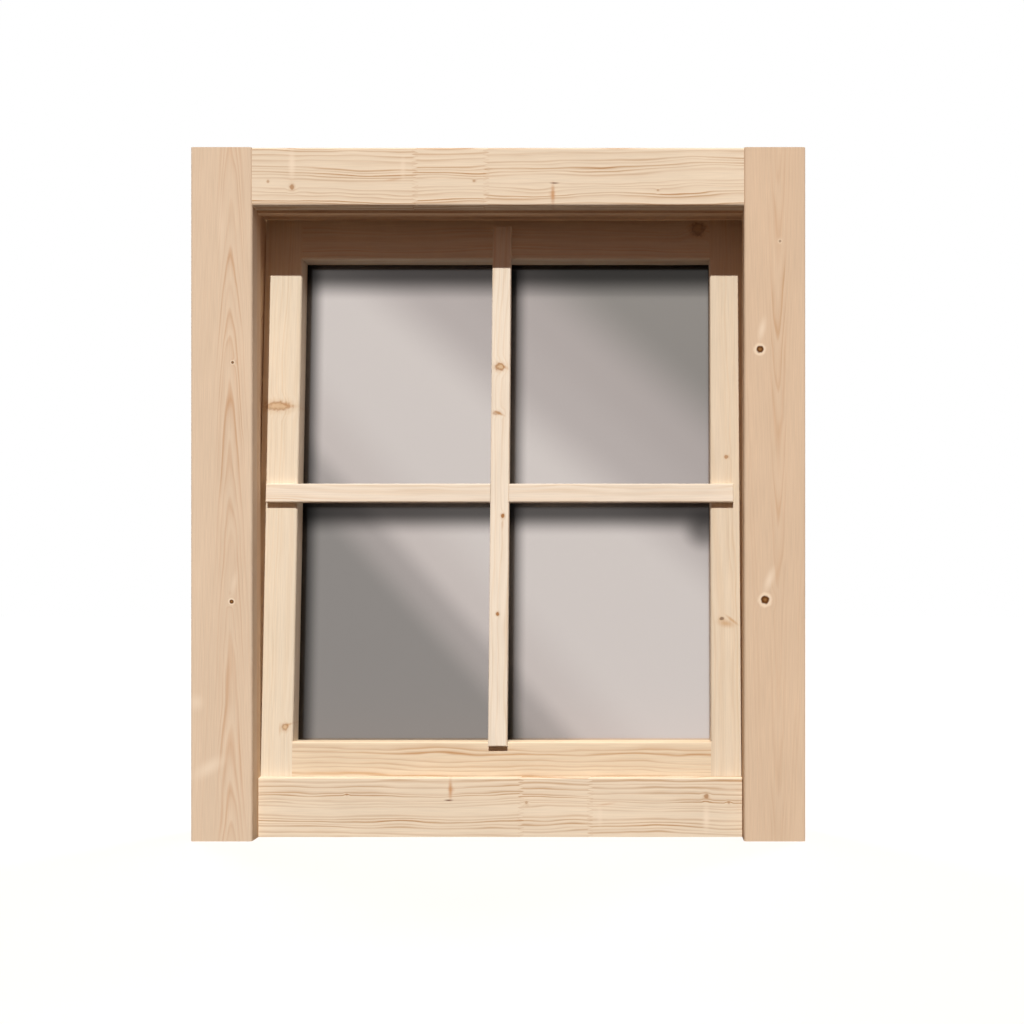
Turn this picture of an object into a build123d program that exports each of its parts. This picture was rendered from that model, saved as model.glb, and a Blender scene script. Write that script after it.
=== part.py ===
"""Small timber shed window with a tilted sash, casings on both faces of the wall and a glazing-bar cross.

Millimetres. X runs to the right as seen from outdoors, Y into the building, Z up.
The origin is the centre of the sill's underside in the middle plane of the wall.
"""
from build123d import *
import math
import os

os.makedirs("parts", exist_ok=True)

# Wall and frame
wall_thickness = 38.0
frame_width = 614.0          # over the outer faces of the jambs
frame_height = 748.0
frame_depth = 55.0
lining_thickness = 18.0      # jamb and head boards
frame_proud = 2.0            # frame stands proud of the wall's outer face, inside the casing rebate
lip_depth = 11.0             # stop lip, front to back
lip_width = 9.0              # stop lip, how far it stands inside the lining
head_lip_drop = 10.0
housing_depth = 6.0          # head and sill are let into the jambs
sill_height = 56.0           # floor of the sill's rebate
sill_lip_rise = 13.0
sill_lip_depth = 6.0
sill_fall = 1.0              # weathered slope on the lip's top
sill_lip_arris = 1.0

# Casings
casing_thickness = 17.0
side_casing_width = 70.0
head_casing_width = 67.0
casing_reveal = 9.0          # lining left uncovered behind the lip's front
head_casing_rise = 42.0      # head casing above the frame
casing_arris = 3.0
inner_casing_arris = 1.5

# Sash
sash_thickness = 43.0
sash_side_gap = 1.0
sash_head_gap = 2.5
sash_sill_gap = 2.0
sash_face_gap = 1.0          # behind the stop lip
stile_width = 44.0
rail_width = 48.0
tongue_thickness = 20.0      # front part of stile and rail, in front of the glass
rebate_width = 12.0          # glass rebate, cut from indoors
tenon_thickness = 12.0
tenon_setback = 4.0          # tenon's back face from the glass shoulder
joint_gap = 0.15             # glue line around tenons and housings
sash_arris = 2.5             # edges by the glass
sash_outer_arris = 0.6
tilt_angle = 3.4
tilt_line_behind = 7.0       # tilt line behind the sash's inner face
tilt_line_rise = 6.0         # tilt line above the sash's lower edge

# Glass and beads
glass_thickness = 3.0
glass_edge_gap = 1.5
bead_round = 6.5             # quarter-round along the bead's inner edge
bead_step = 1.5              # narrow step between the round and the side by the glass

# Glazing bars
bar_width = 22.0
bar_thickness = 7.5
bar_offset = -4.0            # the cross sits a little left of the middle
cross_bar_end_gap = 1.0      # inside the stop lip
cross_bar_rise = 4.0         # its centre line above the middle of the sash
upright_top_gap = 3.0        # below the head lip
upright_foot_lap = 5.0       # over the bottom rail
bar_arris = 1.5
bar_lap_gap = 0.1

# Tilt handle
rosette_width = 28.0
rosette_height = 64.0
rosette_thickness = 8.0
rosette_edge = 2.0
neck_diameter = 12.0
lever_standoff = 30.0        # the grip's centre line above the rosette
lever_bend = 11.0            # radius of the bend from neck to grip
lever_reach = 86.0           # tip of the grip from the neck's centre line
grip_swell = 24.0            # where the grip is widest, from the end of the bend
grip_width = 14.0
grip_thickness = 9.0
grip_taper = 0.85            # the tip against the widest part
grip_end = 2.0               # rounding of the tip
screw_head = 7.0
screw_sink = 1.0
screw_spacing = 44.0

# Corner hinge
hinge_plate_thickness = 2.5
hinge_plate_margin = 2.0
hinge_plate_corner = 4.0
hinge_frame_plate_height = 42.0
hinge_sash_leaf_width = 24.0
hinge_sash_leaf_height = 60.0
knuckle_diameter = 13.0
knuckle_height = 20.0
hinge_pin_diameter = 6.0
hinge_pin_height = 12.0
hinge_pin_play = 1.2         # the pin's play lets the sash lean

# Tilt stay
stay_thickness = 2.5
stay_width = 14.0
stay_stud_diameter = 6.0
stay_stud_length = 9.0
stay_play = 0.5
stay_arm_length = 120.0      # between the studs
stay_setback = 89.0          # stud on the head, from the left jamb's face
stay_rise = 8.0              # top of both brackets above the underside of the head
stay_arm_lift = 0.5
stay_lug_reach = 18.0
stay_plate_length = 52.0
stay_slot_travel = 20.0
stay_plate_drop = 22.0       # below the sash's top edge
stay_plate_edge = 2.0
stay_stud_out = 11.0         # stud from the frame's or the sash's inner face

# Lock
lock_width = 16.0
lock_thickness = 2.5
lock_end_margin = 60.0
lock_setback = 12.0          # strip's edge from the sash's inner face
striker_length = 70.0
striker_thickness = 2.0
striker_hole_width = 9.0
striker_hole_length = 26.0
striker_mortise = 8.0

# Values that follow from the sizes above
wall_out = -wall_thickness / 2
wall_in = wall_thickness / 2
frame_front = wall_out - frame_proud
frame_back = frame_front + frame_depth
lining_out = frame_width / 2
lining_in = lining_out - lining_thickness
lip_in = lining_in - lip_width
lip_back = frame_front + lip_depth
head_under = frame_height - lining_thickness
head_lip_under = head_under - head_lip_drop
casing_front = wall_out - casing_thickness
casing_in = lining_in - casing_reveal
casing_top = frame_height + head_casing_rise
sill_front = lip_back - sill_lip_depth
inner_casing_back = wall_in + casing_thickness

sash_front = lip_back + sash_face_gap
sash_back = sash_front + sash_thickness
sash_out = lining_in - sash_side_gap
sash_low = sill_height + sash_sill_gap
sash_high = head_under - sash_head_gap
light_side = sash_out - stile_width
light_low = sash_low + rail_width
light_high = sash_high - rail_width
rebate_side = light_side + rebate_width
rebate_low = light_low - rebate_width
rebate_high = light_high + rebate_width
shoulder = sash_front + tongue_thickness
glass_back = shoulder + glass_thickness
bead_step_y = sash_back - bead_round - bead_step
tenon_back = shoulder - tenon_setback
tenon_front = tenon_back - tenon_thickness
tilt_y = sash_back + tilt_line_behind
tilt_z = sash_low + tilt_line_rise
stay_height = head_under + stay_rise
stay_x = stay_setback - lining_in
sash_middle = (sash_low + sash_high) / 2
lock_middle = sash_back - lock_setback - lock_width / 2

ALONG_X = Plane.YZ
ALONG_Z = Plane.XY


def box(x0, x1, y0, y1, z0, z1):
    """A block between two corners."""
    size = (x1 - x0, y1 - y0, z1 - z0)
    return Pos((x0 + x1) / 2, (y0 + y1) / 2, (z0 + z1) / 2) * Box(*size)


def run(plane, points, start, end):
    """A moulding: the outline drawn on the plane, run from start to end along its normal."""
    outline = plane.offset(start) * make_face(Polyline(*points, close=True))
    return extrude(outline, amount=end - start, dir=plane.z_dir)


def edges_at(shape, axis, **place):
    """Straight edges along the axis that lie on the given coordinates."""
    found = []
    for edge in shape.edges().filter_by(axis):
        middle = edge.center()
        if all(abs(getattr(middle, name.upper()) - value) < 0.01 for name, value in place.items()):
            found.append(edge)
    return found


def mirrored(shape):
    """The same piece for the other side of the window."""
    return mirror(shape, about=Plane.YZ)


def tilted(shape):
    """A sash piece, drawn closed, leaned back about the tilt line."""
    line = Axis((0, tilt_y, tilt_z), (1, 0, 0))
    return shape.rotate(line, -tilt_angle)


# Casings

def outer_casing_side():
    """Right-hand outdoor board, full height, rebated behind over the edge of the frame."""
    x_in, x_out = casing_in, casing_in + side_casing_width
    section = [(x_in, casing_front), (x_out, casing_front), (x_out, wall_out), (lining_out, wall_out),
               (lining_out, frame_front), (x_in, frame_front)]
    board = run(ALONG_Z, section, 0, casing_top)
    arrises = edges_at(board, Axis.Z, x=x_in, y=casing_front)
    arrises += edges_at(board, Axis.Z, x=x_out, y=casing_front)
    return fillet(arrises, casing_arris)


def outer_casing_head():
    """Outdoor head board, butted between the side casings and rebated behind over the head."""
    low = casing_top - head_casing_width
    section = [(casing_front, low), (casing_front, casing_top), (wall_out, casing_top),
               (wall_out, frame_height), (frame_front, frame_height), (frame_front, low)]
    board = run(ALONG_X, section, -casing_in, casing_in)
    arrises = edges_at(board, Axis.X, y=casing_front, z=low)
    arrises += edges_at(board, Axis.X, y=casing_front, z=casing_top)
    return fillet(arrises, casing_arris)


def inner_casing_side():
    """Right-hand indoor board, planted against the jamb."""
    x_out = casing_in + side_casing_width
    board = box(lining_out, x_out, wall_in, inner_casing_back, 0, casing_top)
    arrises = edges_at(board, Axis.Z, x=lining_out, y=inner_casing_back)
    arrises += edges_at(board, Axis.Z, x=x_out, y=inner_casing_back)
    return fillet(arrises, inner_casing_arris)


def inner_casing_head():
    """Indoor head board, butted between the indoor side boards."""
    board = box(-lining_out, lining_out, wall_in, inner_casing_back, frame_height, casing_top)
    arrises = edges_at(board, Axis.X, y=inner_casing_back, z=frame_height)
    arrises += edges_at(board, Axis.X, y=inner_casing_back, z=casing_top)
    return fillet(arrises, inner_casing_arris)


# Frame

def frame_jamb():
    """Right-hand jamb with its stop lip, mitred lip head and the housings for head and sill."""
    section = [(lip_in, frame_front), (lining_out, frame_front), (lining_out, frame_back),
               (lining_in, frame_back), (lining_in, lip_back), (lip_in, lip_back)]
    jamb = run(ALONG_Z, section, 0, frame_height)
    housing_end = lining_in + housing_depth + joint_gap
    head_slot = box(lip_in, housing_end, frame_front, frame_back, head_under, frame_height)
    sill_slot = box(lining_in, housing_end, lip_back, frame_back, 0, sill_height)
    mitre = [(lip_in, head_lip_under), (lip_in, head_under), (lining_in, head_under)]
    mitre_cut = run(Plane.XZ, mitre, -lip_back, -frame_front)
    return jamb - head_slot - sill_slot - mitre_cut


def frame_jamb_locked():
    """Right-hand jamb with the recess and the mortise for the striker."""
    jamb = frame_jamb() - striker_block(striker_thickness, striker_length, lock_width)
    return jamb - striker_block(striker_mortise, striker_hole_length, striker_hole_width)


def striker_block(depth, length, width):
    """A block sunk into the jamb opposite the lock, centred on the sash's height."""
    return box(lining_in, lining_in + depth, lock_middle - width / 2, lock_middle + width / 2,
               sash_middle - length / 2, sash_middle + length / 2)


def striker_plate():
    """Striker let in flush, with an oblong hole for the bolt."""
    plate = striker_block(striker_thickness, striker_length, lock_width)
    return plate - striker_block(striker_thickness, striker_hole_length, striker_hole_width)


def frame_head():
    """Head board housed into both jambs, with a stop lip mitred to theirs."""
    reach = lining_in + housing_depth
    board = box(-reach, reach, frame_front, frame_back, head_under, frame_height)
    lip = [(-lip_in, head_lip_under), (lip_in, head_lip_under), (lining_in, head_under),
           (-lining_in, head_under)]
    return board + run(Plane.XZ, lip, -lip_back, -frame_front)


def frame_sill():
    """Deep sill with a rebate for the sash, a weathered lip and its ends housed into the jambs."""
    lip_top = sill_height + sill_lip_rise
    section = [(sill_front, 0), (lip_back, 0), (lip_back, lip_top), (sill_front, lip_top - sill_fall)]
    lip = run(ALONG_X, section, -lip_in, lip_in)
    reach = lining_in + housing_depth
    body = box(-reach, reach, lip_back, frame_back, 0, sill_height)
    lip = fillet(edges_at(lip, Axis.X, y=sill_front, z=lip_top - sill_fall), sill_lip_arris)
    return lip + body


# Sash, drawn closed

def sash_stile():
    """Right-hand stile, rebated for the glass, with an open bridle slot at each end."""
    section = [(light_side, sash_front), (sash_out, sash_front), (sash_out, sash_back),
               (rebate_side, sash_back), (rebate_side, shoulder), (light_side, shoulder)]
    stile = run(ALONG_Z, section, sash_low, sash_high)
    arrises = edges_at(stile, Axis.Z, x=sash_out, y=sash_front)
    arrises += edges_at(stile, Axis.Z, x=sash_out, y=sash_back)
    stile = fillet(arrises, sash_outer_arris)
    cuts = [stopped_arris()]
    for low, high in ((sash_low, light_low + joint_gap), (light_high - joint_gap, sash_high)):
        cuts.append(box(light_side, sash_out, tenon_front - joint_gap, tenon_back + joint_gap, low, high))
    return stile - cuts


def stopped_arris():
    """What rounding the stile's front edge by the glass takes off, stopped at both rails."""
    x1, y1 = light_side + sash_arris, sash_front + sash_arris
    corner = box(light_side, x1, sash_front, y1, light_low, light_high)
    return corner - upright_cylinder(x1, y1, light_low, light_high, 2 * sash_arris)


def lock_faceplate():
    """Steel strip let flush into the outer edge of the stile with the handle."""
    y0, y1 = lock_middle - lock_width / 2, lock_middle + lock_width / 2
    low, high = sash_low + lock_end_margin, sash_high - lock_end_margin
    return box(sash_out - lock_thickness, sash_out, y0, y1, low, high)


def sash_bottom_rail():
    """Rail between the stiles: its back part steps out into their rebates, its tenons run through."""
    body = box(-light_side, light_side, sash_front, shoulder, sash_low, light_low)
    body = fillet(edges_at(body, Axis.X, y=sash_front, z=light_low), sash_arris)
    body = fillet(edges_at(body, Axis.X, y=sash_front, z=sash_low), sash_outer_arris)
    back = box(-rebate_side, rebate_side, shoulder, sash_back, sash_low, rebate_low)
    back = fillet(edges_at(back, Axis.X, y=sash_back, z=sash_low), sash_outer_arris)
    tenons = box(-sash_out, sash_out, tenon_front, tenon_back, sash_low, light_low)
    return body + back + tenons


def upended(shape):
    """The same piece for the other end of the sash."""
    return mirror(shape, about=Plane.XY.offset(sash_middle))


def glass_pane():
    """One pane behind the glazing bars, set in the rebate."""
    side = rebate_side - glass_edge_gap
    return box(-side, side, shoulder, glass_back, rebate_low + glass_edge_gap, rebate_high - glass_edge_gap)


def glazing_bead_side():
    """Right-hand bead, a moulding with a stepped quarter-round, mitred at both ends."""
    step_x = light_side + bead_step
    section = [(rebate_side, glass_back), (light_side, glass_back), (light_side, bead_step_y),
               (step_x, bead_step_y), (step_x, sash_back), (rebate_side, sash_back)]
    bead = run(ALONG_Z, section, rebate_low, rebate_high)
    bead = fillet(edges_at(bead, Axis.Z, x=step_x, y=sash_back), bead_round)
    outline = [(rebate_side, rebate_low), (rebate_side, rebate_high),
               (light_side, light_high), (light_side, light_low)]
    return bead & run(Plane.XZ, outline, -sash_back, -glass_back)


def glazing_bead_bottom():
    """Bottom bead of the same moulding, mitred to the side beads."""
    step_z = light_low - bead_step
    section = [(glass_back, rebate_low), (glass_back, light_low), (bead_step_y, light_low),
               (bead_step_y, step_z), (sash_back, step_z), (sash_back, rebate_low)]
    bead = run(ALONG_X, section, -rebate_side, rebate_side)
    bead = fillet(edges_at(bead, Axis.X, y=sash_back, z=step_z), bead_round)
    outline = [(-rebate_side, rebate_low), (rebate_side, rebate_low),
               (light_side, light_low), (-light_side, light_low)]
    return bead & run(Plane.XZ, outline, -sash_back, -glass_back)


# Glazing bars, drawn closed

bar_front = sash_front - bar_thickness
bar_middle = sash_front - bar_thickness / 2
upright_low = light_low - upright_foot_lap
upright_high = head_lip_under - upright_top_gap
cross_reach = lip_in - cross_bar_end_gap - abs(bar_offset)
cross_low = sash_middle + cross_bar_rise - bar_width / 2
cross_high = cross_low + bar_width


def glazing_bar_upright():
    """Upright bar, whole in front, notched behind where the cross bar passes."""
    x0, x1 = bar_offset - bar_width / 2, bar_offset + bar_width / 2
    bar = box(x0, x1, bar_front, sash_front, upright_low, upright_high)
    front = bar.faces().sort_by(Axis.Y)[0]
    bar = fillet(front.edges(), bar_arris)
    floor = bar_middle - bar_lap_gap / 2
    notch = box(x0, x1, floor, sash_front, cross_low - bar_lap_gap, cross_high + bar_lap_gap)
    return bar - notch


def glazing_bar_cross():
    """Cross bar, notched in front so that the upright passes flush over it."""
    x0, x1 = bar_offset - cross_reach, bar_offset + cross_reach
    bar = box(x0, x1, bar_front, sash_front, cross_low, cross_high)
    front = bar.faces().sort_by(Axis.Y)[0]
    bar = fillet(front.edges(), bar_arris)
    half = bar_width / 2 + bar_lap_gap
    floor = bar_middle + bar_lap_gap / 2
    notch = box(bar_offset - half, bar_offset + half, bar_front, floor, cross_low, cross_high)
    return bar - notch


# Handle, drawn closed

handle_x = (rebate_side + sash_out) / 2


def handle_rosette():
    """Plate of the handle on the stile, with sinkings for its two screws."""
    plate = Pos(handle_x, sash_back + rosette_thickness / 2, sash_middle)
    plate = plate * Box(rosette_width, rosette_thickness, rosette_height)
    plate = fillet(plate.edges().filter_by(Axis.Y), rosette_width / 2 - 0.5)
    plate = fillet(plate.faces().sort_by(Axis.Y)[-1].edges(), rosette_edge)
    for side in (-1, 1):
        place = Pos(handle_x, sash_back + rosette_thickness, sash_middle + side * screw_spacing / 2)
        plate -= place * Rot(90, 0, 0) * Cylinder(screw_head / 2, 2 * screw_sink)
    return plate


def handle_lever():
    """Round neck, a quarter bend and an oval grip that tapers to its tip, turned to the horizontal."""
    start = sash_back + rosette_thickness
    grip_y = start + lever_standoff
    bend_y, bend_x = grip_y - lever_bend, handle_x - lever_bend
    foot = Plane((handle_x, start, sash_middle), x_dir=(0, 0, 1), z_dir=(0, 1, 0))
    neck = extrude(foot * Circle(neck_diameter / 2), amount=bend_y - start)
    turn = foot.offset(bend_y - start) * Circle(neck_diameter / 2)
    bend = revolve(turn, Axis((bend_x, bend_y, sash_middle), (0, 0, 1)), 90)
    across = Plane((bend_x, grip_y, sash_middle), x_dir=(0, 0, 1), z_dir=(-1, 0, 0))
    width, thickness = grip_width / 2, grip_thickness / 2
    tip = Ellipse(width * grip_taper, thickness * grip_taper)
    sections = [across * Circle(neck_diameter / 2), across.offset(grip_swell) * Ellipse(width, thickness),
                across.offset(lever_reach - lever_bend) * tip]
    grip = loft(sections)
    grip = fillet(grip.faces().sort_by(Axis.X)[0].edges(), grip_end)
    return neck + bend + grip


# Corner hinge on the left, its pin on the tilt line

pin_x = -(lining_in + lining_out) / 2


def upright_cylinder(x, y, low, high, diameter):
    """A round post, pin or bore that stands upright."""
    return Pos(x, y, (low + high) / 2) * Cylinder(diameter / 2, high - low)


def corner_hinge_frame():
    """Plate on the jamb's inner edge with a knuckle and an upright pin."""
    x0, x1 = -lining_out + hinge_plate_margin, -lining_in - hinge_plate_margin
    knuckle_low = tilt_z - knuckle_height
    plate_low = tilt_z - hinge_frame_plate_height
    plate = box(x0, x1, frame_back, frame_back + hinge_plate_thickness, plate_low, tilt_z)
    plate = fillet(edges_at(plate, Axis.Y, z=plate_low), hinge_plate_corner)
    web = box(x0, x1, frame_back, tilt_y, knuckle_low, tilt_z)
    knuckle = upright_cylinder(pin_x, tilt_y, knuckle_low, tilt_z, knuckle_diameter)
    pin = upright_cylinder(pin_x, tilt_y, tilt_z, tilt_z + hinge_pin_height, hinge_pin_diameter)
    return plate + web + knuckle + pin


def corner_hinge_sash():
    """Leaf on the stile's inner face, cranked to the knuckle that stands on the pin."""
    low = tilt_z + hinge_pin_play
    high = low + knuckle_height
    leaf_high = low + hinge_sash_leaf_height
    y1 = sash_back + hinge_plate_thickness
    leaf_end = -sash_out + hinge_sash_leaf_width
    leaf = box(-sash_out, leaf_end, sash_back, y1, low, leaf_high)
    leaf = fillet(edges_at(leaf, Axis.Y, x=leaf_end), hinge_plate_corner)
    leaf_edge = -sash_out + hinge_plate_thickness
    step_end = tilt_y + hinge_plate_thickness / 2
    crank = box(pin_x, leaf_edge, step_end - hinge_plate_thickness, step_end, low, high)
    step = box(-sash_out, leaf_edge, sash_back, step_end, low, high)
    knuckle = upright_cylinder(pin_x, tilt_y, low, high, knuckle_diameter)
    bore = upright_cylinder(pin_x, tilt_y, low, high, hinge_pin_diameter + 2 * hinge_pin_play)
    return leaf + crank + step + knuckle - bore


# Tilt stay at the head

tilt = math.radians(tilt_angle)
frame_stud_y = frame_back + stay_stud_out
sash_stud_y = sash_back + stay_stud_out
stud_rise = stay_height - stay_thickness / 2 - tilt_z
leaned_stud_y = tilt_y + (sash_stud_y - tilt_y) * math.cos(tilt) + stud_rise * math.sin(tilt)
leaned_stud_x = stay_x + math.sqrt(stay_arm_length ** 2 - (leaned_stud_y - frame_stud_y) ** 2)
closed_stud_x = stay_x + stay_arm_length


def stay_lug(x, face, low, high):
    """Angle: a plate against an inner face from low to high, and a lug that stands out from it."""
    x0, x1 = x - stay_plate_length / 2, x + stay_plate_length / 2
    plate = box(x0, x1, face, face + stay_thickness, low, high)
    lug = box(x0, x1, face, face + stay_lug_reach, stay_height - stay_thickness, stay_height)
    lug = fillet(edges_at(lug, Axis.Z, y=face + stay_lug_reach), stay_lug_reach / 3)
    return plate + lug


def stud_hole(x0, x1, y):
    """Round or oblong hole for a stud, wide enough for its play."""
    diameter = stay_stud_diameter + 2 * stay_play
    low, high = stay_height - stay_thickness, stay_height
    hole = upright_cylinder(x0, y, low, high, diameter)
    if x1 > x0:
        hole += upright_cylinder(x1, y, low, high, diameter)
        hole += box(x0, x1, y - diameter / 2, y + diameter / 2, low, high)
    return hole


def stay_bracket_frame():
    """Angle on the inner edge of the head, which carries the arm's fixed stud."""
    angle = stay_lug(stay_x, frame_back, stay_height - stay_thickness, frame_height - stay_plate_edge)
    return angle - stud_hole(stay_x, stay_x, frame_stud_y)


def stay_bracket_sash():
    """Angle on the top rail with a slot, in which the arm's other stud slides as the sash leans."""
    middle = (leaned_stud_x + closed_stud_x) / 2
    angle = stay_lug(middle, sash_back, sash_high - stay_plate_drop, stay_height)
    start = middle - stay_slot_travel / 2
    return angle - stud_hole(start, start + stay_slot_travel, sash_stud_y)


def stay_arm():
    """Flat arm across the gap at the head, with a stud under each end."""
    low = stay_height + stay_arm_lift
    ends = ((stay_x, frame_stud_y), (leaned_stud_x, leaned_stud_y))
    middle = Pos((ends[0][0] + ends[1][0]) / 2, (ends[0][1] + ends[1][1]) / 2, low)
    swing = math.degrees(math.atan2(ends[1][1] - ends[0][1], ends[1][0] - ends[0][0]))
    outline = middle * Rot(0, 0, swing) * SlotCenterToCenter(stay_arm_length, stay_width)
    arm = extrude(outline, amount=stay_thickness)
    for x, y in ends:
        arm += upright_cylinder(x, y, low - stay_stud_length, low, stay_stud_diameter)
    return arm


def export(name, shape):
    """Write one piece under its name."""
    export_step(shape, f"parts/{name}.step")


export("outer_casing_right", outer_casing_side())
export("outer_casing_left", mirrored(outer_casing_side()))
export("outer_casing_head", outer_casing_head())
export("inner_casing_right", inner_casing_side())
export("inner_casing_left", mirrored(inner_casing_side()))
export("inner_casing_head", inner_casing_head())
export("frame_jamb_right", frame_jamb_locked())
export("frame_jamb_left", mirrored(frame_jamb()))
export("frame_head", frame_head())
export("frame_sill", frame_sill())
export("sash_stile_right", tilted(sash_stile() - lock_faceplate()))
export("sash_stile_left", tilted(mirrored(sash_stile())))
export("sash_top_rail", tilted(upended(sash_bottom_rail())))
export("sash_bottom_rail", tilted(sash_bottom_rail()))
export("glass_pane", tilted(glass_pane()))
export("glazing_bead_right", tilted(glazing_bead_side()))
export("glazing_bead_left", tilted(mirrored(glazing_bead_side())))
export("glazing_bead_top", tilted(upended(glazing_bead_bottom())))
export("glazing_bead_bottom", tilted(glazing_bead_bottom()))
export("glazing_bar_upright", tilted(glazing_bar_upright()))
export("glazing_bar_cross", tilted(glazing_bar_cross()))
export("handle_rosette", tilted(handle_rosette()))
export("handle_lever", tilted(handle_lever()))
export("corner_hinge_frame", corner_hinge_frame())
export("corner_hinge_sash", tilted(corner_hinge_sash()))
export("stay_bracket_frame", stay_bracket_frame())
export("stay_bracket_sash", tilted(stay_bracket_sash()))
export("stay_arm", stay_arm())
export("lock_faceplate", tilted(lock_faceplate()))
export("striker_plate", striker_plate())
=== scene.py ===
"""Small timber shed window, its sash leaned back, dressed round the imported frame. Metres, Z up."""
from math import radians
import bmesh
import bpy
from mathutils import Matrix, Vector


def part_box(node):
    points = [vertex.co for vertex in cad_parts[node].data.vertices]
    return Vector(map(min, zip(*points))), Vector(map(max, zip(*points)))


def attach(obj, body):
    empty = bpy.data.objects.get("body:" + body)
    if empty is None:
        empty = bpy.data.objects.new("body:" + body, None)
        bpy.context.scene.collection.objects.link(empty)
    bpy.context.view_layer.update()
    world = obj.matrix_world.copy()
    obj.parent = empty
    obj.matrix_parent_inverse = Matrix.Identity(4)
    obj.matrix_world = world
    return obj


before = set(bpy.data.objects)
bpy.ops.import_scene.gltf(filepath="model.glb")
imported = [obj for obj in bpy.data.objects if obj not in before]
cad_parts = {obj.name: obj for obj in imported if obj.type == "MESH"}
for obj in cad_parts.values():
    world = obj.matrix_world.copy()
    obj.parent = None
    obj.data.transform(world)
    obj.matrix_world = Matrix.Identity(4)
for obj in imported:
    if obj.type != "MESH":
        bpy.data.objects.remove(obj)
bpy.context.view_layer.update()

# Outdoor casings: three planed spruce boards, 17 mm thick, nailed round the frame on the weather side.
# The side boards are flat-sawn, so they carry arched figure and a few pin knots. The head board is
# glued up from straight-grained lengths, with finger joints and one spike knot on its lower edge.


def tone(code):
    """A colour written as sRGB hex, turned to linear."""
    parts = [int(code[i:i + 2], 16) / 255 for i in (1, 3, 5)]
    return tuple(p / 12.92 if p <= 0.04045 else ((p + 0.055) / 1.055) ** 2.4 for p in parts) + (1.0,)


def add(tree, kind, feeds, **settings):
    """Add one shader node: settings are its own properties, feeds are values or sockets for its inputs."""
    made = tree.nodes.new("ShaderNode" + kind)
    for name, value in settings.items():
        setattr(made, name, value)
    for key, feed in feeds.items():
        if isinstance(feed, bpy.types.NodeSocket):
            tree.links.new(feed, made.inputs[key])
        else:
            made.inputs[key].default_value = feed
    return made


def finish(name):
    """A new material with an empty node tree, and its output."""
    material = bpy.data.materials.new(name)
    material.use_nodes = True
    material.node_tree.nodes.clear()
    return material, material.node_tree


def dress(node_name, material):
    """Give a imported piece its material."""
    piece = bpy.data.objects[node_name]
    piece.data.materials.clear()
    piece.data.materials.append(material)


# Colours of knots: dark pins, brown twigs, a thick branch, and the stain that spreads beside them
PIN, BUD, WHORL, STAIN = "#633F20", "#A06C36", "#5A3A26", "#BE9058"
# A twig thicker than this shows a pale heart inside its brown rim
HEART_SHOWS = 0.003
# Real fibres, at 0.03 mm, are too fine to show, so they are drawn in bundles of 0.9 mm
FIBRE = 0.0009
# Finger joints have teeth 4.2 mm apart and 7 mm long
TOOTH_HALF, TOOTH_SLOPE = 0.0021, 3.4
# Turns that lay a board's length along the pattern's third axis, for a post and for a rail
UPRIGHT = (0.0, 0.0, 0.0)
LEVEL = (0.0, radians(90), 0.0)


def knot_outlines(tree, board, knots):
    """The distance from each knot's middle, with an edge that is ragged every 4 mm, and its values."""
    ragged = add(tree, "TexNoise", {"Vector": board, "Scale": 240.0, "Detail": 1.0}).outputs[0]
    outlines = []
    for across, along, size, stretch, depth, tint in knots:
        offset = add(tree, "Mapping", {"Vector": board, "Location": (-across * stretch, 0, -along),
                                       "Scale": (stretch, 0, 1)}).outputs[0]
        away = add(tree, "VectorMath", {0: offset}, operation="LENGTH").outputs["Value"]
        rough = (0.5 if tint == PIN else 1.1) * size
        away = add(tree, "Math", {0: ragged, 1: rough, 2: away}, operation="MULTIPLY_ADD").outputs[0]
        away = add(tree, "Math", {0: away, 1: -0.5 * rough}, operation="ADD").outputs[0]
        outlines.append((away, size, depth, tint))
    return outlines


def joint_lines(tree, across, along, joints):
    """The distance along the board from each toothed line of a finger joint."""
    seams = []
    for place in joints:
        tooth = add(tree, "Math", {0: across, 1: TOOTH_HALF}, operation="PINGPONG").outputs[0]
        seam = add(tree, "Math", {0: tooth, 1: TOOTH_SLOPE, 2: -place},
                   operation="MULTIPLY_ADD").outputs[0]
        seams.append(add(tree, "Math", {0: along, 1: seam}, operation="ADD").outputs[0])
    return seams


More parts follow.
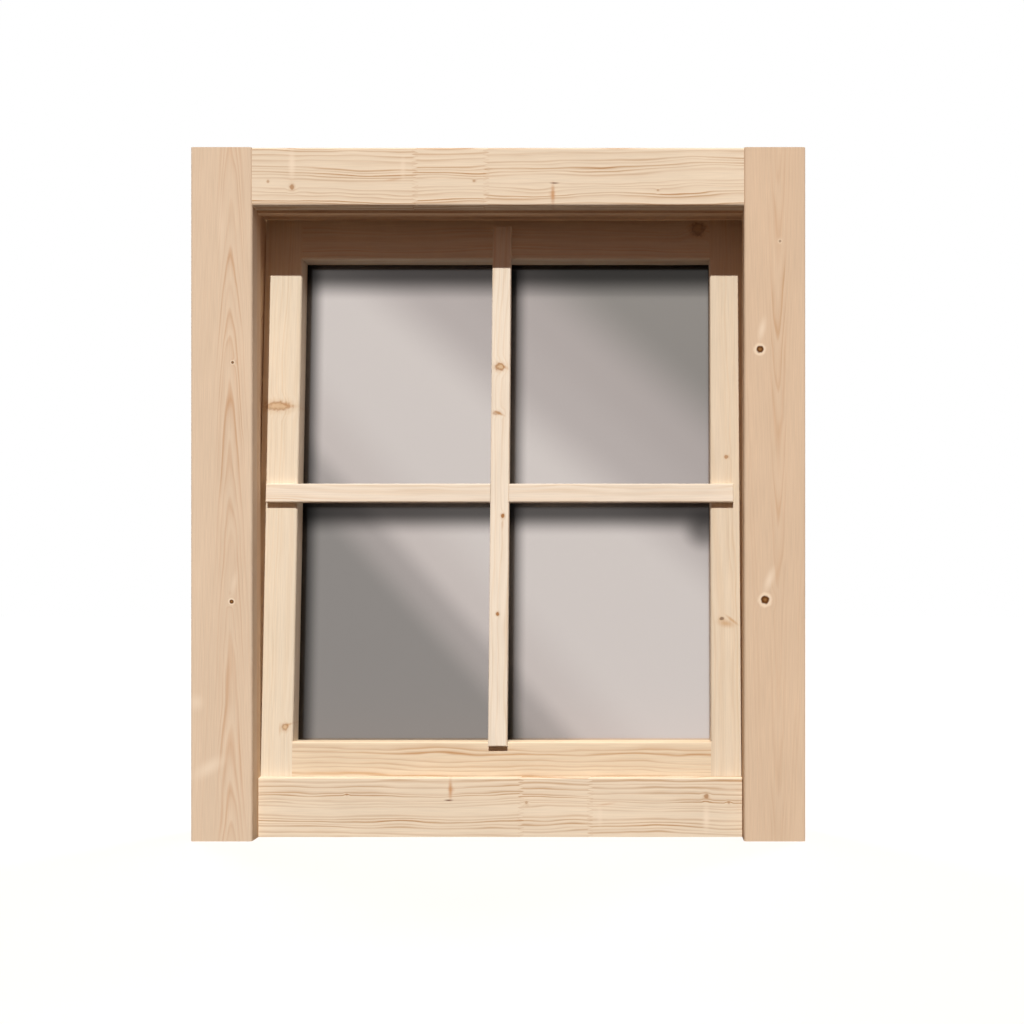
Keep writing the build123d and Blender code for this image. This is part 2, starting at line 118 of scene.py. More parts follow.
def years_of_growth(tree, board, along, ripple, pith, ring, taper, wave, outlines, seams):
    """The distance from the pith, counted in rings.

    It sways every 70 mm across the grain and 380 mm along it, ripples, drifts with the taper, swells
    round knots, jumps at finger joints, and is uneven from year to year.
    """
    flat = add(tree, "Mapping", {"Vector": board, "Location": (-pith[0], -pith[1], 0), "Scale": (1, 1, 0)})
    growth = add(tree, "VectorMath", {0: flat.outputs[0]}, operation="LENGTH").outputs["Value"]
    slow = add(tree, "Mapping", {"Vector": board, "Scale": (14, 14, 2.6)}).outputs[0]
    sway = add(tree, "TexNoise", {"Vector": slow, "Scale": 1.0, "Detail": 3.0, "Roughness": 0.45})
    for reach, push in ((4.0 * ring, sway.outputs[0]), (2.5 * wave * ring, ripple), (taper, along)):
        growth = add(tree, "Math", {0: push, 1: reach, 2: growth}, operation="MULTIPLY_ADD").outputs[0]
    for away, size, _, _ in outlines:
        swell = add(tree, "MapRange", {"Value": away, "From Max": 4.5 * size, "To Min": 0.8 * size,
                                       "To Max": 0.0}, interpolation_type="SMOOTHERSTEP").outputs[0]
        growth = add(tree, "Math", {0: growth, 1: swell}, operation="ADD").outputs[0]
    for seam in seams:
        beyond = add(tree, "Math", {0: seam, 1: 0.0}, operation="GREATER_THAN").outputs[0]
        growth = add(tree, "Math", {0: beyond, 1: 0.7 * ring, 2: growth},
                     operation="MULTIPLY_ADD").outputs[0]
    uneven = add(tree, "TexNoise", {"W": growth, "Scale": 0.35 / ring, "Detail": 2.0}, noise_dimensions="1D")
    growth = add(tree, "Math", {0: uneven.outputs[0], 1: 2.4 * ring, 2: growth}, operation="MULTIPLY_ADD")
    return add(tree, "Math", {0: growth.outputs[0], 1: 1 / ring}, operation="MULTIPLY").outputs[0]


def latewood_lines(tree, years, across, ripple, figure, middle, column):
    """Dark line at the end of each year's growth: some years stronger, broken here and there, and
    fading beyond the flat-sawn column in the board's face."""
    season = add(tree, "Math", {0: years}, operation="FRACT").outputs[0]
    ramp = add(tree, "ValToRGB", {0: season})
    stops = ramp.color_ramp.elements
    stops[0].position, stops[0].color = 0.0, (0, 0, 0, 1)
    stops[1].position, stops[1].color = 1.0, (0, 0, 0, 1)
    for place, level in ((0.20, 0.03), (0.55, 0.38), (0.76, 1.0), (0.90, 0.55)):
        stops.new(place).color = (level, level, level, 1)
    year = add(tree, "Math", {0: years}, operation="FLOOR").outputs[0]
    vigour = add(tree, "TexWhiteNoise", {"W": year}, noise_dimensions="1D").outputs[0]
    vigour = add(tree, "MapRange", {"Value": vigour, "To Min": 0.25 * figure, "To Max": figure}).outputs[0]
    broken = add(tree, "MapRange", {"Value": ripple, "From Min": 0.38, "From Max": 0.60, "To Min": 0.55,
                                    "To Max": 1.15}).outputs[0]
    aside = add(tree, "Math", {0: across, 1: -middle}, operation="ADD").outputs[0]
    aside = add(tree, "Math", {0: aside}, operation="ABSOLUTE").outputs[0]
    flatness = add(tree, "MapRange", {"Value": aside, "From Min": column, "From Max": 1.8 * column,
                                      "To Min": 1.0, "To Max": 0.22},
                   interpolation_type="SMOOTHSTEP").outputs[0]
    lines = ramp.outputs[0]
    for share in (vigour, broken, flatness):
        lines = add(tree, "Math", {0: lines, 1: share}, operation="MULTIPLY").outputs[0]
    return lines


def with_marks(tree, colour, board, fibre, streaks, outlines, seams):
    """The timber's colour with streaks laid over it, knots in their rims or halos, and glue lines."""
    veils = []
    for across, along, half_width, half_length, slant, depth, tint in streaks:
        offset = add(tree, "Mapping", {"Vector": board, "Location": (-across, 0, -along)}).outputs[0]
        offset = add(tree, "Mapping", {"Vector": offset, "Rotation": (0, radians(slant), 0)}).outputs[0]
        offset = add(tree, "Mapping", {"Vector": offset, "Scale": (1 / half_width, 0, 1 / half_length)})
        away = add(tree, "VectorMath", {0: offset.outputs[0]}, operation="LENGTH").outputs["Value"]
        away = add(tree, "Math", {0: fibre, 1: 0.5, 2: away}, operation="MULTIPLY_ADD").outputs[0]
        veils.append((away, 0.2, 1.25, depth, tint, "SMOOTHSTEP"))
    for away, size, depth, tint in outlines:
        if tint == PIN:
            layers = ((1.3, 2.0, 0.8, "#F3E2CB"), (0.8, 1.15, 1.0, PIN), (0.1, 0.65, 0.6, "#B0824F"))
        else:
            layers = ((0.9, 2.4, 0.35, STAIN), (0.75, 1.35, 0.9, tint),
                      (0.35, 0.85, 0.85 * (size > HEART_SHOWS), "#E3CBA8"))
        for start, end, strength, shown in layers:
            veils.append((away, start * size, end * size, strength * depth, shown, "SMOOTHSTEP"))
    for seam in seams:
        away = add(tree, "Math", {0: seam}, operation="ABSOLUTE").outputs[0]
        veils.append((away, 0.0002, 0.0010, 0.3, "#C7A17C", "LINEAR"))
    for away, start, end, depth, code, fall in veils:
        veil = add(tree, "MapRange", {"Value": away, "From Min": start, "From Max": end, "To Min": depth,
                                      "To Max": 0.0}, interpolation_type=fall).outputs[0]
        colour = add(tree, "Mix", {"Factor": veil, 6: colour, 7: tone(code)}, data_type="RGBA").outputs[2]
    return colour


def planed_spruce(name, turn, shift, pith, ring, taper, pale, late, figure, column=9.0, wave=0.6,
                  knots=(), streaks=(), joints=()):
    """Planed spruce, untreated: growth rings cut through by the board, fine fibres and knots.

    It is matt and pale, with a faint silkiness along the fibres. turn and shift lay the board's length
    along the pattern's third axis. pith is where the log's centre lies from the board's middle, ring is
    the width of a year's growth, and taper tips the rings so that a flat-sawn face shows arches. The
    figure fades beyond the column's half width from the pith, and wave is how far the grain wanders.
    Knots are (across, along, radius, stretch, depth, colour), streaks (across, along, half width, half
    length, slant, depth, colour), and joints are the places along the board of glued finger joints.
    """
    material, tree = finish(name)
    where = add(tree, "TexCoord", {}).outputs["Object"]
    board = add(tree, "Mapping", {"Vector": where, "Rotation": turn, "Location": shift}).outputs[0]
    axes = add(tree, "SeparateXYZ", {0: board})
    across, along = axes.outputs[0], axes.outputs[2]

    # Ripples 22 mm across the grain and 100 mm along it
    quick = add(tree, "Mapping", {"Vector": board, "Scale": (45, 45, 10)}).outputs[0]
    ripple = add(tree, "TexNoise", {"Vector": quick, "Scale": 1.0, "Detail": 2.0}).outputs[0]
    outlines = knot_outlines(tree, board, knots)
    seams = joint_lines(tree, across, along, joints)
    years = years_of_growth(tree, board, along, ripple, pith, ring, taper, wave, outlines, seams)
    lines = latewood_lines(tree, years, across, ripple, figure, pith[0], column)

    # Fibres, and slow changes of tone every 40 mm across the board and 170 mm along it
    thread = add(tree, "Mapping", {"Vector": board, "Scale": (1 / FIBRE, 1 / FIBRE, 0.02 / FIBRE)}).outputs[0]
    fibre = add(tree, "TexNoise", {"Vector": thread, "Scale": 1.0, "Detail": 3.0, "Roughness": 0.6})
    fibre = fibre.outputs[0]
    cloud = add(tree, "Mapping", {"Vector": board, "Scale": (24, 24, 6)}).outputs[0]
    cloud = add(tree, "TexNoise", {"Vector": cloud, "Scale": 1.0, "Detail": 2.0}).outputs[0]
    colour = add(tree, "Mix", {"Factor": lines, 6: tone(pale), 7: tone(late)}, data_type="RGBA").outputs[2]
    fleck = add(tree, "MapRange", {"Value": fibre, "From Min": 0.3, "From Max": 0.7, "To Min": 0.93,
                                   "To Max": 1.05}).outputs[0]
    patch = add(tree, "MapRange", {"Value": cloud, "From Min": 0.3, "From Max": 0.7, "To Min": 0.965,
                                   "To Max": 1.03}).outputs[0]
    shade = add(tree, "Math", {0: fleck, 1: patch}, operation="MULTIPLY").outputs[0]
    colour = add(tree, "VectorMath", {0: colour, 3: shade}, operation="SCALE").outputs[0]
    colour = with_marks(tree, colour, board, fibre, streaks, outlines, seams)

    relief = add(tree, "Math", {0: fibre, 1: 0.5, 2: lines}, operation="MULTIPLY_ADD").outputs[0]
    bump = add(tree, "Bump", {"Height": relief, "Strength": 0.25, "Distance": 0.0002}).outputs[0]
    skin = add(tree, "BsdfPrincipled", {"Base Color": colour, "Roughness": 0.72, "Specular IOR Level": 0.06,
                                        "Normal": bump})
    add(tree, "OutputMaterial", {"Surface": skin.outputs[0]})
    return material


# Early and late wood of the side casings, and of the paler, livelier boards of head and sill
CASING_PALE, CASING_LATE = "#E1CDB5", "#C79D78"
BOARD_PALE, BOARD_LATE = "#EDDFC9", "#B38450"
# Paler patches beside knots, the brown of a knot cut lengthwise, and its core of resin
PALE_PATCH, SPIKE, RESIN = "#F4E5D0", "#C9986C", "#64341F"
casing_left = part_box("outer_casing_left")
casing_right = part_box("outer_casing_right")
casing_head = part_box("outer_casing_head")
left_middle = (casing_left[0][0] + casing_left[1][0]) / 2
right_middle = (casing_right[0][0] + casing_right[1][0]) / 2
head_middle = (casing_head[0][2] + casing_head[1][2]) / 2

dress("outer_casing_left", planed_spruce(
    "planed_spruce_casing_left", UPRIGHT, (-left_middle, 0, 0), (0.011, -0.0265), 0.0031, 0.058,
    CASING_PALE, CASING_LATE, 0.68, column=0.010,
    knots=((0.013, 0.545, 0.0017, 1.0, 0.9, PIN), (0.012, 0.273, 0.0024, 1.0, 1.0, PIN)),
    streaks=((0.015, 0.294, 0.005, 0.020, -10, 0.4, PALE_PATCH),
             (-0.014, 0.084, 0.012, 0.032, -58, 0.6, PALE_PATCH),
             (-0.028, 0.158, 0.012, 0.014, 0, 0.5, PALE_PATCH),
             (0.000, 0.700, 0.006, 0.060, 0, 0.3, PALE_PATCH))))
dress("outer_casing_right", planed_spruce(
    "planed_spruce_casing_right", UPRIGHT, (-right_middle, 0, 0.4), (0.004, -0.0300), 0.0036, -0.046,
    "#DDC6AC", "#C3986F", 0.6, column=0.006,
    knots=((-0.017, 0.960, 0.0042, 1.0, 1.0, PIN), (-0.011, 0.675, 0.0050, 1.0, 1.0, PIN),
           (0.006, 1.083, 0.0016, 1.0, 0.5, PIN)),
    streaks=((-0.0145, 0.983, 0.006, 0.020, -12, 0.65, PALE_PATCH),
             (-0.006, 0.698, 0.007, 0.022, -20, 0.7, PALE_PATCH))))
dress("outer_casing_head", planed_spruce(
    "planed_spruce_casing_head", LEVEL, (-head_middle, 0, 0), (-0.140, 0.05), 0.0044, 0.004,
    BOARD_PALE, BOARD_LATE, 1.0, wave=0.8,
    knots=((-0.012, 0.2345, 0.0024, 0.8, 0.7, BUD), (-0.0057, 0.2615, 0.0014, 1.0, 0.5, BUD),
           (-0.005, 0.027, 0.0017, 1.2, 0.5, BUD), (-0.0155, -0.182, 0.0013, 1.0, 0.45, BUD)),
    streaks=((-0.020, -0.0625, 0.018, 0.0036, 0, 0.85, SPIKE),
             (-0.020, -0.0615, 0.005, 0.0060, 0, 0.4, SPIKE),
             (-0.0075, -0.0645, 0.0013, 0.0075, 0, 1.0, RESIN),
             (0.014, 0.2345, 0.024, 0.006, 0, 0.8, PALE_PATCH),
             (0.010, 0.108, 0.020, 0.005, 0, 0.5, PALE_PATCH),
             (-0.0035, 0.119, 0.0020, 0.016, 8, 0.4, SPIKE)),
    joints=(0.098, 0.017)))


# Frame: jambs, head and sill of the same spruce, 18 mm boards with a stop lip on the weather side,
# housed together and set behind the casings. The sill is a deep block with a weathered top.

FRAME_PALE, FRAME_LATE = "#E2C7A8", "#C99C72"
for side, middle in (("left", -0.298), ("right", 0.298)):
    dress("frame_jamb_" + side, planed_spruce(
        "planed_spruce_jamb_" + side, UPRIGHT, (-middle, 0, 0.9 * middle), (0.05, 0.09), 0.0048, 0.01,
        FRAME_PALE, FRAME_LATE, 0.8))
dress("frame_head", planed_spruce(
    "planed_spruce_frame_head", LEVEL, (-0.735, 0, 0.31), (0.03, 0.11), 0.0046, 0.008,
    FRAME_PALE, FRAME_LATE, 0.8))
dress("frame_sill", planed_spruce(
    "planed_spruce_sill", LEVEL, (-0.034, 0, 0.07), (0.150, 0.04), 0.0046, 0.004,
    BOARD_PALE, BOARD_LATE, 1.0, wave=0.8,
    knots=((0.013, -0.168, 0.0024, 0.9, 0.7, BUD), (0.006, -0.194, 0.0015, 1.0, 0.5, BUD),
           (0.006, 0.040, 0.0017, 1.2, 0.5, BUD), (0.015, 0.248, 0.0013, 1.0, 0.45, BUD)),
    streaks=((0.021, 0.128, 0.018, 0.0036, 0, 0.85, SPIKE),
             (0.021, 0.127, 0.005, 0.0060, 0, 0.4, SPIKE),
             (0.0085, 0.130, 0.0013, 0.0075, 0, 1.0, RESIN),
             (-0.012, -0.168, 0.022, 0.006, 0, 0.8, PALE_PATCH),
             (-0.009, -0.045, 0.018, 0.005, 0, 0.5, PALE_PATCH),
             (0.004, -0.052, 0.0020, 0.016, 8, 0.4, SPIKE)),
    joints=(0.050, -0.030)))


# Indoor boards: three more boards of the same planed spruce, 17 mm thick, nailed round the inner face
# of the wall, so that the wall's edge sits between them and the outdoor casings.

for node_name, turn, shift, pith in (
        ("inner_casing_left", UPRIGHT, (0.33, 0, 0.2), (0.012, -0.03)),
        ("inner_casing_right", UPRIGHT, (-0.33, 0, 0.7), (-0.008, -0.032)),
        ("inner_casing_head", LEVEL, (-0.77, 0, 0.1), (0.09, -0.05))):
    dress(node_name, planed_spruce("planed_spruce_" + node_name, turn, shift, pith, 0.0056, 0.04,
                                   CASING_PALE, CASING_LATE, 0.8))


# Sash: rebated stiles and rails of paler, finer spruce, joined with open tenons and leaned back about
# its bottom edge. Grain runs along each piece, so the joints show as a change of direction. The glass is
# held from indoors by four moulded beads of the same timber.

# The sash leans by 3.4 degrees about this line by its inner lower edge
LEAN = radians(3.4)
TILT_LINE = Vector((0, 0.041, 0.064))
SASH_PALE, SASH_LATE = "#E6DAC6", "#D8C09E"
LEANED_UPRIGHT = (LEAN, 0.0, 0.0)
LEANED_LEVEL = (LEAN, radians(90), 0.0)

dress("sash_stile_left", planed_spruce(
    "planed_spruce_stile_left", LEANED_UPRIGHT, (0.265, 0, 0), (0.06, 0.05), 0.0042, 0.012,
    SASH_PALE, SASH_LATE, 0.5,
    knots=((-0.004, 0.504, 0.0050, 0.36, 0.65, BUD), (0.012, 0.125, 0.0036, 1.0, 0.7, BUD)),
    streaks=((0.004, 0.5055, 0.022, 0.0034, -8, 0.45, STAIN),
             (0.016, 0.128, 0.008, 0.0022, 20, 0.6, STAIN),
             (0.006, 0.122, 0.002, 0.012, 0, 0.3, STAIN))))
dress("sash_stile_right", planed_spruce(
    "planed_spruce_stile_right", LEANED_UPRIGHT, (-0.265, 0, 0.3), (-0.05, 0.06), 0.0045, 0.010,
    "#E0D2BD", "#D3BA9A", 0.6,
    knots=((-0.002, 0.743, 0.0020, 1.0, 0.7, BUD), (-0.008, 0.5515, 0.0017, 0.7, 0.75, WHORL)),
    streaks=((-0.003, 0.546, 0.015, 0.0070, -10, 0.6, STAIN),
             (0.004, 0.550, 0.014, 0.0026, -38, 0.65, STAIN))))
dress("sash_top_rail", planed_spruce(
    "planed_spruce_top_rail", LEANED_LEVEL, (-0.70, 0, 0), (0.08, 0.05), 0.0050, 0.006,
    SASH_PALE, "#D2B08A", 0.7,
    knots=((0.019, -0.230, 0.0080, 1.0, 0.50, WHORL),)))
dress("sash_bottom_rail", planed_spruce(
    "planed_spruce_bottom_rail", LEANED_LEVEL, (-0.082, 0, 0.5), (0.07, 0.06), 0.0044, 0.006,
    "#E6D5BB", "#BA8853", 0.9, wave=0.7))
for index, side in enumerate(("left", "right", "top", "bottom")):
    turn = LEANED_UPRIGHT if side in ("left", "right") else LEANED_LEVEL
    dress("glazing_bead_" + side, planed_spruce(
        "planed_spruce_bead_" + side, turn, (0.1 * index, 0.02, 0.3 * index), (0.07, 0.05), 0.0040, 0.006,
        SASH_PALE, SASH_LATE, 0.6))


# Glazing bars: two slim battens half-lapped into a cross and pinned to the face of the sash.
# They are the palest timber of the window, with a few brown twig knots on the upright.

dress("glazing_bar_upright", planed_spruce(
    "planed_spruce_bar_upright", LEANED_UPRIGHT, (0.004, 0, 0), (0.04, 0.05), 0.0036, 0.010,
    "#EFE5D5", "#D2B48C", 0.6,
    knots=((-0.001, 0.549, 0.0040, 0.8, 0.85, BUD), (-0.004, 0.494, 0.0022, 0.5, 0.5, BUD),
           (0.004, 0.372, 0.0024, 1.3, 1.0, BUD), (-0.001, 0.257, 0.0020, 1.3, 1.0, BUD)),
    streaks=((0.003, 0.550, 0.010, 0.0030, -30, 0.6, STAIN),
             (-0.001, 0.4935, 0.010, 0.0022, -25, 0.8, STAIN),
             (0.004, 0.362, 0.0020, 0.010, 0, 0.35, STAIN))))
dress("glazing_bar_cross", planed_spruce(
    "planed_spruce_bar_cross", LEANED_LEVEL, (-0.397, 0, 0.4), (0.05, 0.04), 0.0040, 0.008,
    "#EDE2D2", "#D2B48C", 0.6))


# Pane: clear float glass 3 mm thick, bedded in the rebate behind the cross. Its colour is a painted
# reflection of a bright sky with the soft diagonal of a cloud edge, with painted shade in bands where it
# would mirror the rail, stile and bars that stand in front of it and a painted shade spot by the handle's
# foot; it lets a little of what is behind it through.

# Middle of the daylight opening, and the height behind the cross bar that parts upper and lower lights
OPENING_MIDDLE, CROSS_HEIGHT = 0.393, 0.391
# Place across the window of the upright bar
UPRIGHT_PLACE = -0.004
# Painted shade by the handle's foot: its middle, and half of its width and height
SHADE_SPOT_RIGHT, SHADE_SPOT_UP, SHADE_SPOT_WIDTH, SHADE_SPOT_HEIGHT = 0.238, 0.357, 0.026, 0.025
# Length over which the ramps of the painted sky reflection run
PAINTED_SKY_SPAN = 0.4
# Shift that, with a turn by the lean, brings the pane's pattern back to the closed sash
UNLEANED = TILT_LINE - Matrix.Rotation(LEAN, 3, "X") @ TILT_LINE


def painted_sky_reflection(tree, right, up, slant, way, bands):
    """Painted sky reflection that dims across a soft diagonal: bands are distances from it through the
    middle, and colours.
    """
    centred = add(tree, "Math", {0: up, 1: -OPENING_MIDDLE}, operation="ADD").outputs[0]
    drift = add(tree, "Math", {0: right, 1: slant, 2: centred}, operation="MULTIPLY_ADD").outputs[0]
    drift = add(tree, "Math", {0: drift, 1: way / PAINTED_SKY_SPAN}, operation="MULTIPLY").outputs[0]
    cloud = add(tree, "ValToRGB", {0: drift})
    cloud.color_ramp.interpolation = "EASE"
    stops = cloud.color_ramp.elements
    stops.remove(stops[1])
    stops[0].position, stops[0].color = bands[0][0] / PAINTED_SKY_SPAN, tone(bands[0][1])
    for place, code in bands[1:]:
        stops.new(place / PAINTED_SKY_SPAN).color = tone(code)
    return cloud.outputs[0]


def float_glass():
    """Metallic glass whose colour is a painted sky reflection with painted shade, a little soft, with one
    twentieth of what is behind it.
    """
    material, tree = finish("float_glass_painted_sky")
    where = add(tree, "TexCoord", {}).outputs["Object"]
    closed = add(tree, "Mapping", {"Vector": where, "Rotation": (LEAN, 0, 0), "Location": UNLEANED})
    closed = closed.outputs[0]
    axes = add(tree, "SeparateXYZ", {0: closed})
    right, up = axes.outputs[0], axes.outputs[2]

    # Painted sky reflection: one cloud edge towards the upper right, a steeper one towards the lower left
    upper_right = ((0.07, "#D2C9C4"), (0.17, "#B6ADA9"), (0.25, "#AFA6A2"), (0.36, "#8D8883"))
    lower_left = ((0.07, "#D2C9C4"), (0.17, "#C8BEB9"), (0.22, "#A9A19D"), (0.28, "#8F8A86"))
    painted_skies = (painted_sky_reflection(tree, right, up, 0.85, 1, upper_right),
             painted_sky_reflection(tree, right, up, 1.10, -1, lower_left))
    painted_sky_and_shade = add(tree, "Mix", {"Factor": 1.0, 6: painted_skies[0], 7: painted_skies[1]}, data_type="RGBA", blend_type="DARKEN")
    painted_sky_and_shade = painted_sky_and_shade.outputs[2]

    # Painted shade: dark bands under the top rail and the cross bar, and beside the left stile and the
    # upright bar, where the pane would mirror the shaded wood
    lower = add(tree, "Math", {0: up, 1: CROSS_HEIGHT}, operation="LESS_THAN").outputs[0]
    righthand = add(tree, "Math", {0: right, 1: UPRIGHT_PLACE}, operation="GREATER_THAN").outputs[0]
    for axis, start, end, dark, part in (
            (up, 0.666, 0.634, 0.15, None), (up, 0.376, 0.347, 0.15, lower),
            (right, -0.240, -0.220, 0.20, None), (right, 0.006, 0.027, 0.20, righthand)):
        clear = add(tree, "MapRange", {"Value": axis, "From Min": start, "From Max": end, "To Min": dark},
                    interpolation_type="SMOOTHSTEP").outputs[0]
        if part is not None:
            clear = add(tree, "Mix", {"Factor": part, 2: 1.0, 3: clear}).outputs[0]
        painted_sky_and_shade = add(tree, "VectorMath", {0: painted_sky_and_shade, 3: clear}, operation="SCALE").outputs[0]
    # Painted shade: a dark soft spot on the pane by the handle's foot
    foot = add(tree, "Mapping", {
        "Vector": closed, "Location": (-SHADE_SPOT_RIGHT / SHADE_SPOT_WIDTH, 0, -SHADE_SPOT_UP / SHADE_SPOT_HEIGHT),
        "Scale": (1 / SHADE_SPOT_WIDTH, 0, 1 / SHADE_SPOT_HEIGHT)}).outputs[0]
    foot = add(tree, "VectorMath", {0: foot}, operation="LENGTH").outputs["Value"]
    foot = add(tree, "MapRange", {"Value": foot, "From Min": 0.2, "From Max": 1.3, "To Min": 0.36},
               interpolation_type="SMOOTHSTEP").outputs[0]
    painted_sky_and_shade = add(tree, "VectorMath", {0: painted_sky_and_shade, 3: foot}, operation="SCALE").outputs[0]

    mirror = add(tree, "BsdfPrincipled", {"Base Color": painted_sky_and_shade, "Metallic": 1.0, "Roughness": 0.16})
    clear = add(tree, "BsdfTransparent", {"Color": (1, 1, 1, 1)})
    both = add(tree, "MixShader", {0: 0.05, 1: mirror.outputs[0], 2: clear.outputs[0]})
    add(tree, "OutputMaterial", {"Surface": both.outputs[0]})
    return material


dress("glass_pane", float_glass())


# Handle, hinge, stay and lock: rosette and lever are aluminium, ground smooth and anodised to a soft
# sheen. The other fittings are pressed from sheet steel and zinc plated, greyer and duller. All are
# screwed on from indoors, but for the lock's strip and striker, which face each other in the gap.


def metal(name, colour, roughness, grit):
    """Metal with the faint unevenness that grinding or plating leaves, one grain to each grit's width."""
    material, tree = finish(name)
    where = add(tree, "TexCoord", {}).outputs["Object"]
    grain = add(tree, "TexNoise", {"Vector": where, "Scale": 1 / grit, "Detail": 3.0}).outputs[0]
    rough = add(tree, "MapRange", {"Value": grain, "From Min": 0.3, "From Max": 0.7,
                                   "To Min": roughness - 0.05, "To Max": roughness + 0.07}).outputs[0]
    bump = add(tree, "Bump", {"Height": grain, "Strength": 0.12, "Distance": 0.0001}).outputs[0]
    skin = add(tree, "BsdfPrincipled", {"Base Color": tone(colour), "Metallic": 1.0, "Roughness": rough,
                                        "Normal": bump})
    add(tree, "OutputMaterial", {"Surface": skin.outputs[0]})
    return material


# The grain of 0.6 and 1.5 mm is coarser than the real one, which is too fine to show
anodised = metal("anodised_aluminium_satin", "#BFC0C2", 0.32, 0.0006)
plated = metal("zinc_plated_steel", "#A5A39E", 0.36, 0.0015)
for node_name in ("handle_rosette", "handle_lever"):
    dress(node_name, anodised)
for node_name in ("corner_hinge_frame", "corner_hinge_sash", "stay_bracket_frame", "stay_bracket_sash",
                  "stay_arm", "lock_faceplate", "striker_plate"):
    dress(node_name, plated)


# Screws: small raised countersunk heads with a cross recess, zinc plated. They hold the rosette, the two
# hinge plates, the two stay brackets, the lock strip and the striker. Those on the sash lean with it.

# One head, as shares of its width: reach of the cross, rise of the crown, depth of the recess and skirt
CROSS_REACH, CROWN, RECESS, SKIRT = 0.29, 0.05, 0.14, 0.1
RIM_SIDES = 24
# More than the corners of one head
CORNER_STEP = 1000


def by_corners(part):
    """A number for an edge or face, from the numbers of its first three corners."""
    order = 0
    for corner in sorted(vert.index for vert in part.verts)[:3]:
        order = order * CORNER_STEP + corner
    return order


def screw_head():
    """A head one unit across, looking up, its rim at height 0: cross recess, raised crown, short skirt."""
    build = bmesh.new()
    grid = bmesh.ops.create_grid(build, x_segments=3, y_segments=3, size=CROSS_REACH)["verts"]
    bmesh.ops.translate(build, verts=grid, vec=(0, 0, CROWN))
    corners = [face for face in build.faces
               if min(abs(face.calc_center_median().x), abs(face.calc_center_median().y)) > 0.1]
    bmesh.ops.delete(build, geom=corners, context="FACES")
    bmesh.ops.subdivide_edges(build, edges=[edge for edge in build.edges if edge.is_boundary], cuts=1)
    outline = [edge for edge in build.edges if edge.is_boundary]
    cross = build.faces[:]
    rim = bmesh.ops.create_circle(build, cap_ends=False, segments=RIM_SIDES, radius=0.5)["verts"]
    # Each edge of the rim once, in the same order on each run
    rim = list(dict.fromkeys(edge for vert in rim for edge in vert.link_edges))
    bmesh.ops.bridge_loops(build, edges=outline + rim)
    sunk = bmesh.ops.extrude_face_region(build, geom=cross)["geom"]
    bmesh.ops.delete(build, geom=[face for face in cross if face.is_valid], context="FACES_ONLY")
    bmesh.ops.translate(build, verts=[item for item in sunk if isinstance(item, bmesh.types.BMVert)],
                        vec=(0, 0, -RECESS))
    skirt = bmesh.ops.extrude_edge_only(build, edges=rim)["geom"]
    bmesh.ops.translate(build, verts=[item for item in skirt if isinstance(item, bmesh.types.BMVert)],
                        vec=(0, 0, -SKIRT))
    foot = [item for item in skirt if isinstance(item, bmesh.types.BMEdge)]
    bmesh.ops.holes_fill(build, edges=foot, sides=RIM_SIDES)
    bmesh.ops.recalc_face_normals(build, faces=build.faces)
    # The extrusion makes its edges and faces in no fixed order
    build.verts.index_update()
    build.edges.sort(key=by_corners)
    build.faces.sort(key=by_corners)
    mesh = bpy.data.meshes.new("screw_head")
    build.to_mesh(mesh)
    build.free()
    return mesh


INDOORS, TO_LOCK, TO_JAMB = (0, 1, 0), (-1, 0, 0), (1, 0, 0)
# Inner face of the 2.5 mm plates, floor of the rosette's sinkings, and middle of the lock's strip
PLATE_FACE, SINKING_FLOOR, LOCK_LINE = 0.0365, 0.0411, 0.014
HANDLE_PLACE, JAMB_FACE, STILE_EDGE = 0.2720, 0.2890, 0.2880
LOCK_LOWEST, LOCK_SPACING = 0.135, 0.1032
one_head = screw_head()
head_stay = (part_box("stay_bracket_frame")[0][0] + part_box("stay_bracket_frame")[1][0]) / 2
rail_stay = (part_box("stay_bracket_sash")[0][0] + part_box("stay_bracket_sash")[1][0]) / 2
for name, facing, across, leaned, places in (
        ("handle_screws", INDOORS, 0.0064, True,
         [(HANDLE_PLACE, SINKING_FLOOR, z) for z in (0.371, 0.415)]),
        ("hinge_leaf_screws", INDOORS, 0.0062, True,
         [(x, PLATE_FACE, z) for x, z in ((-0.2717, 0.094), (-0.2802, 0.106), (-0.2717, 0.118))]),
        ("hinge_plate_screws", INDOORS, 0.0058, False,
         [(-0.298, PLATE_FACE, z) for z in (0.029, 0.038)]),
        ("stay_head_screws", INDOORS, 0.0056, False,
         [(head_stay + x, PLATE_FACE, 0.742) for x in (-0.016, 0.016)]),
        ("stay_rail_screws", INDOORS, 0.0062, True,
         [(rail_stay + x, PLATE_FACE, 0.7165) for x in (-0.016, 0.016)]),
        ("striker_screws", TO_LOCK, 0.0062, False,
         [(JAMB_FACE, LOCK_LINE, z) for z in (0.366, 0.420)]),
        ("lock_screws", TO_JAMB, 0.0062, True,
         [(STILE_EDGE, LOCK_LINE, LOCK_LOWEST + LOCK_SPACING * n) for n in range(6)])):
    build = bmesh.new()
    for place in places:
        turned = Vector(facing).to_track_quat("Z", "Y").to_matrix().to_4x4()
        move = Matrix.Translation(place) @ turned @ Matrix.Scale(across, 4)
        if leaned:
            back = Matrix.Translation(-TILT_LINE)
            move = back.inverted() @ Matrix.Rotation(-LEAN, 4, "X") @ back @ move
        placed = one_head.copy()
        placed.transform(move)
        build.from_mesh(placed)
    mesh = bpy.data.meshes.new(name)
    build.to_mesh(mesh)
    build.free()
    mesh.materials.append(plated)
    heads = bpy.data.objects.new(name, mesh)
    bpy.context.collection.objects.link(heads)
    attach(heads, "root")


